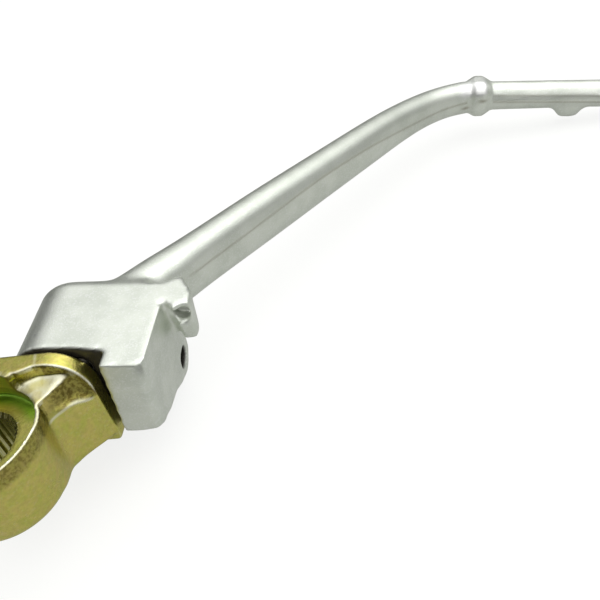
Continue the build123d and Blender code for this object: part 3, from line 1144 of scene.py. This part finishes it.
    def flange_edge(self) -> Array:
        """Measure how far the points lie outside the flange's outline.

        Returns:
            Distance for each point, negative inside the outline.
        """
        x, _, z = self.at_rest()
        across, up = x - self.pivot_x, z - self.pivot_z
        corner = np.where(across * up > 0.0, self.flange_corner, self.flange_small_corner)
        over_x = np.abs(across) - self.flange_half + corner
        over_z = np.abs(up) - self.flange_half + corner
        outside = np.hypot(np.maximum(over_x, 0.0), np.maximum(over_z, 0.0))
        return outside + np.minimum(np.maximum(over_x, over_z), 0.0) - corner

    def highlight_share(self) -> Array:
        """Find where bright highlights are painted: rim, crease, flange edge and platform.

        Returns:
            Share for each point.
        """
        x, y, z = self.at_rest()
        _, back, up = self.skin.normals()
        reach, turn = np.hypot(x, y), np.degrees(np.arctan2(y, x))
        top, front = self.rim_top, self.flange_front
        rim = between(z, top - 0.35, top + 0.25) * (1.0 - rise(turn, 58.0, 68.0) * (turn < 175.0))
        rim *= between(reach, self.recess_radius - 0.3, self.hub_radius + 0.1)
        corner = fall(np.hypot(x - self.highlight_corner[0], y - self.highlight_corner[1]), 0.9, 1.5) * (z > top - 0.7)
        crease = 0.8 * peak(z - self.crease(x), 0.25) * self.side_share()
        edge = rise(-back, 0.15, 0.4) * fall(-back, 0.9, 0.99) * between(y, front - 1.8, front + 0.9)
        edge *= rise(z, 6.5, 9.5) * rise(self.flange_edge(), -1.3, -0.9)
        line_x = self.mark_x + 0.3 * (self.flange_back - y)
        mark = 0.6 * peak(x - line_x, 0.28) * between(y, front - 0.2, front + 4.2) * (z > top + 3.0)
        platform = 0.8 * rise(up, 0.30, 0.85) * between(z, top - 0.6, top + 3.0) * rise(y, 6.0, 9.0)
        platform *= (reach > self.recess_radius - 1.1) * (y < front - 0.2)
        return strongest(rim, corner, crease, edge, mark, platform)

    def brown_shade_share(self) -> Array:
        """Find where brown shade is painted: scoop, flange, under the rim, recess wall and bore mouth.

        Returns:
            Share for each point.
        """
        x, y, z = self.at_rest()
        _, back, up = self.skin.normals()
        reach, low = np.hypot(x, y), self.crease(x)
        top, front, hub, recess = self.rim_top, self.flange_front, self.hub_radius, self.recess_radius
        scoop = 0.85 * rise(self.side_facing(), 0.25, 0.6) * rise(y, 6.0, 11.5) * (x > self.neck_left)
        scoop *= rise(z, low - 0.1, low + 0.5) * (y < front + 0.3)
        face = 0.05 * rise(-back, 0.75, 0.95) * between(y, front - 2.2, front + 0.4) * (z > low)
        face *= fall(self.flange_edge(), -1.0, -0.4)
        band = 0.6 * rise(reach, hub - 1.1, hub - 0.7) * (reach < hub + 0.4)
        band *= rise(z, top - 5.4, top - 3.4) * (z < top - 0.3)
        wall = 0.9 * rise(reach, recess - 0.9, recess - 0.3) * (reach < recess + 0.1)
        wall *= between(z, self.bore_top + 0.6, top - 0.2) * (y > 0.0)
        mouth = 0.5 * rise(z, self.bore_top - 1.6, self.bore_top - 0.8)
        mouth *= reach < self.spline_root_radius + 0.65
        crown = 0.14 * rise(up, 0.5, 0.9) * (z > top + 2.0)
        return strongest(scoop, face, band, wall, mouth, crown)

    def green_share(self) -> Array:
        """Find the strip of the recess that has turned bright green, and a tinge in the bore.

        Returns:
            Share for each point.
        """
        x, y, z = self.at_rest()
        reach, recess = np.hypot(x, y), self.recess_radius
        strip = rise(y, 3.5, 8.0) * rise(reach, recess - 4.0, recess - 1.6) * (reach < recess + 0.2)
        strip *= between(z, self.bore_top - 0.6, self.bore_top + 0.5)
        bore = 0.1 * (reach < self.spline_root_radius + 0.1) * (z < self.bore_top)
        return strongest(strip, bore)

    def shade_share(self) -> Array:
        """Find where dark olive shade is painted: the recess and the bore.

        Returns:
            Share for each point.
        """
        x, y, z = self.at_rest()
        reach, recess, top = np.hypot(x, y), self.recess_radius, self.rim_top
        inside = (reach < recess + 0.1) * between(z, self.bore_top - 0.5, top)
        wall = 0.85 * inside * rise(reach, recess - 1.2, recess - 0.2) * fall(z, top - 0.6, top - 0.1)
        bore = 0.45 * (reach < self.spline_root_radius + 0.7) * (z < self.bore_top + 0.3)
        return strongest(wall, 0.5 * inside, bore)

    def prism(self, outline: list[tuple[float, float]], low: float, high: float, spread: float) -> Form:
        """Raise a closed form over an outline round the spline axis.

        Args:
            outline: Corners in plan, in millimetres.
            low: Height of the lower face.
            high: Height of the upper face.
            spread: Scale of the upper face against the lower one.

        Returns:
            The closed form.
        """
        form = bmesh.new()
        lower = [form.verts.new((x * MM, y * MM, low * MM)) for x, y in outline]
        upper = [form.verts.new((x * spread * MM, y * spread * MM, high * MM)) for x, y in outline]
        form.faces.new(list(reversed(lower)))
        form.faces.new(upper)
        for index in range(len(outline)):
            after = (index + 1) % len(outline)
            form.faces.new((lower[index], lower[after], upper[after], upper[index]))
        return form

    def ring(self, radius: float, count: int) -> list[tuple[float, float]]:
        """Find a number of corners of a round outline in plan."""
        turns = [2 * math.pi * index / count for index in range(count)]
        return [(radius * math.cos(turn), radius * math.sin(turn)) for turn in turns]

    def plug(self) -> Form:
        """Raise the closed form that fills the bore before the skin is grown."""
        outline = self.ring(self.spline_root_radius + self.plug_extra, 96)
        return self.prism(outline, self.bore_bottom, self.bore_top, 1.0)

    def tooth_cutter(self) -> Form:
        """Raise the toothed form that leaves the spline's teeth standing.

        Returns:
            The closed form.
        """
        pitch = 2 * math.pi / self.teeth
        root_radius = self.spline_root_radius
        tip_radius = root_radius - self.tooth_height
        half_tip = (1 - self.tip_share) * pitch / 2
        half_root = self.root_share * pitch / 2
        space = (
            (-pitch / 2, tip_radius),
            (-half_tip, tip_radius),
            (-half_root, root_radius),
            (half_root, root_radius),
            (half_tip, tip_radius),
        )
        turns = [(tooth * pitch + turn, radius) for tooth in range(self.teeth) for turn, radius in space]
        outline = [(radius * math.cos(turn), radius * math.sin(turn)) for turn, radius in turns]
        return self.prism(outline, self.bore_bottom - 3.0, self.bore_top + 3.0, 1.0)

    def lead_in_cutter(self) -> Form:
        """Raise the cone that leaves the slope at the mouth of the bore.

        Returns:
            The closed form.
        """
        radius, top, half = self.spline_root_radius, self.bore_top, self.lead_in
        spread = (radius + half) / (radius - half)
        return self.prism(self.ring(radius - half, 90), top - half, top + half, spread)

    def dimple_cutter(self, turn: float) -> Form:
        """Make the ball that clears one dimple of the detent in the flange.

        Args:
            turn: Turn of the arm round the pivot, in degrees.

        Returns:
            The closed form.
        """
        angle = math.radians(self.dimple_angle - turn)
        x = self.pivot_x + self.dimple_reach * math.cos(angle)
        z = self.pivot_z + self.dimple_reach * math.sin(angle)
        place = Matrix.Translation(Vector((x, self.dimple_y, z)) * MM)
        form = bmesh.new()
        bmesh.ops.create_icosphere(form, subdivisions=4, radius=self.dimple_radius * MM, matrix=place)
        return form

    def flatten_bore(self) -> None:
        """Keep the flats of the teeth crisp where the bore was cut."""
        limit = (self.spline_root_radius + 0.05) * MM
        for face in self.skin.piece.data.polygons:
            if math.hypot(face.center.x, face.center.y) < limit:
                face.use_smooth = False


@dataclass
class SmallPieces:
    """Pieces whose node keeps its shape and only gets its finish."""

    bronze: PlainMetal = PlainMetal(
        "bearing_bronze_bush", (0.62, 0.40, 0.17, 1.0), (0.86, 0.66, 0.38, 1.0), 0.30
    )
    greased: PlainMetal = PlainMetal(
        "greased_steel", (0.060, 0.055, 0.045, 1.0), (0.16, 0.15, 0.13, 1.0), 0.34
    )
    wire: PlainMetal = PlainMetal("spring_wire", (0.36, 0.36, 0.38, 1.0), (0.66, 0.66, 0.66, 1.0), 0.28)
    rubber: SealRubber = SealRubber()

    def build(self, nodes: dict[str, Piece]) -> list[str]:
        """Dress the small nodes.

        Args:
            nodes: Nodes of the frame.

        Returns:
            Names of the dressed nodes.
        """
        greased = self.greased.material()
        choices = {
            "thrust_washer": greased,
            "cross_pin": greased,
            "detent_ball": greased,
            "pivot_bush": self.bronze.material(),
            "detent_spring": self.wire.material(),
            "seal_ring": self.rubber.material(),
        }
        for name, material in choices.items():
            for slot in nodes[name].material_slots:
                slot.material = material
        return list(choices)


@dataclass
class Studio:
    """Pale floor, soft light from above and the camera at the photograph's angle."""

    camera_place: Triple = (92.09, -82.49, 108.70)
    camera_right: Triple = (0.98142, 0.04346, -0.18689)
    camera_up: Triple = (0.11291, 0.65671, 0.74564)
    camera_back: Triple = (0.15514, -0.75289, 0.63960)
    lens: float = 39.90
    sensor: float = 36.0
    floor_half: float = 3000.0
    floor_gap: float = 0.2
    floor_color: Color = (0.25, 0.255, 0.24, 1.0)
    white: Color = (1.0, 1.0, 1.0, 1.0)
    floor_glow: float = 0.79
    floor_gloss: float = 0.30
    pool_middle: Triple = (0.14, 0.02, 0.0)
    pool_near: float = 0.12
    pool_far: float = 0.40
    dome_light: float = 1.24
    dome_fade: float = 0.65
    dome_low: float = 0.42
    dome_dark_side: float = 0.09
    softbox_place: Triple = (0.35, 0.30, 0.75)
    softbox_aim: Triple = (0.09, 0.06, 0.0)
    softbox_size: tuple[float, float] = (0.9, 0.6)
    softbox_power: float = 1.5

    def build(self, lowest: float) -> None:
        """Set up camera, floor, world and lamps.

        Args:
            lowest: Lowest height of the object in metres.
        """
        self.add_camera()
        self.add_floor(lowest)
        self.add_world()
        self.add_softbox()
        bpy.context.scene.view_settings.view_transform = "Standard"

    def add_camera(self) -> None:
        """Place the camera."""
        data = bpy.data.cameras.new("camera")
        data.lens = self.lens
        data.sensor_width = self.sensor
        data.clip_start = 0.005
        camera = add_object("camera", data)
        turn = Matrix((self.camera_right, self.camera_up, self.camera_back)).transposed()
        camera.matrix_world = Matrix.Translation(Vector(self.camera_place) * MM) @ turn.to_4x4()
        bpy.context.scene.camera = camera

    def add_floor(self, lowest: float) -> None:
        """Lay the floor under the object: white to the camera, and a pool of light in mirrored rays.

        Args:
            lowest: Lowest height of the object in metres.
        """
        form = bmesh.new()
        half, height = self.floor_half * MM, lowest - self.floor_gap * MM
        corners = ((-half, -half), (half, -half), (half, half), (-half, half))
        form.faces.new([form.verts.new((x, y, height)) for x, y in corners])
        bmesh.ops.subdivide_edges(form, edges=form.edges, cuts=3, use_grid_fill=True)
        floor = add_object("studio_floor", to_mesh("studio_floor", form))
        material, board = new_material("floor_paper")
        rays = board.add("ShaderNodeLightPath").outputs
        away = board.add("ShaderNodeVectorMath", operation="DISTANCE")
        board.feed(board.place(), away.inputs[0])
        board.feed(self.pool_middle, away.inputs[1])
        pool = board.minus(1.0, board.ramp(away.outputs["Value"], self.pool_near, self.pool_far))
        mirrored = board.times(rays["Is Glossy Ray"], board.times(pool, self.floor_gloss))
        glow = board.plus(board.times(rays["Is Camera Ray"], self.floor_glow), mirrored)
        board.surface(
            Base_Color=self.floor_color,
            Roughness=1.0,
            Specular_IOR_Level=0.0,
            Emission_Color=self.white,
            Emission_Strength=glow,
        )
        floor.data.materials.append(material)
        floor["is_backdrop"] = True

    def add_world(self) -> None:
        """Light the scene with a dome that is bright above, dim near the horizon and white to the camera."""
        world = bpy.data.worlds.new("soft_dome")
        world.use_nodes = True
        world.node_tree.nodes.clear()
        board = NodeBoard(world.node_tree)
        place = board.add("ShaderNodeTexCoord").outputs["Generated"]
        x, _, z = board.add("ShaderNodeSeparateXYZ", Vector=place).outputs
        side = board.ramp(x, 0.0, 0.6)
        low = board.plus(board.times(side, self.dome_low - self.dome_dark_side), self.dome_dark_side)
        far_side = board.ramp(board.times(x, -1.0), 0.2, 0.7)
        high = board.times(board.ramp(z, 0.32, 0.62), board.minus(1.0, board.times(far_side, self.dome_fade)))
        level = board.plus(board.times(high, board.minus(self.dome_light, low)), low)
        rays = board.add("ShaderNodeLightPath").outputs["Is Camera Ray"]
        strength = board.plus(board.times(level, board.minus(1.0, rays)), rays)
        sky = board.add("ShaderNodeBackground", Color=self.white, Strength=strength)
        board.add("ShaderNodeOutputWorld", Surface=sky.outputs[0])
        bpy.context.scene.world = world

    def add_softbox(self) -> None:
        """Hang the large softbox over the lever."""
        data = bpy.data.lights.new("softbox", "AREA")
        data.shape = "RECTANGLE"
        data.size, data.size_y = self.softbox_size
        data.energy = self.softbox_power
        lamp = add_object("softbox", data)
        place = Vector(self.softbox_place)
        aim = Vector(self.softbox_aim) - place
        lamp.matrix_world = Matrix.Translation(place) @ aim.to_track_quat("-Z", "Y").to_matrix().to_4x4()


def main() -> None:
    """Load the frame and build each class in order."""
    logging.basicConfig(level=logging.INFO, format="%(message)s")
    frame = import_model()
    nodes = frame["nodes"]
    solid_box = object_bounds()
    Studio().build(solid_box[0][2])
    LOG.info("studio: camera, floor, dome and softbox")
    arm = ForgedArm().build(nodes, BlastedAlloy())
    LOG.info("%s: %d faces", arm.name, len(arm.data.polygons))
    boss = SplinedBoss().build(nodes, YellowZinc())
    LOG.info("%s: %d faces", boss.name, len(boss.data.polygons))
    for name in SmallPieces().build(nodes):
        LOG.info("%s: dressed", name)


if __name__ == "__main__":
    main()
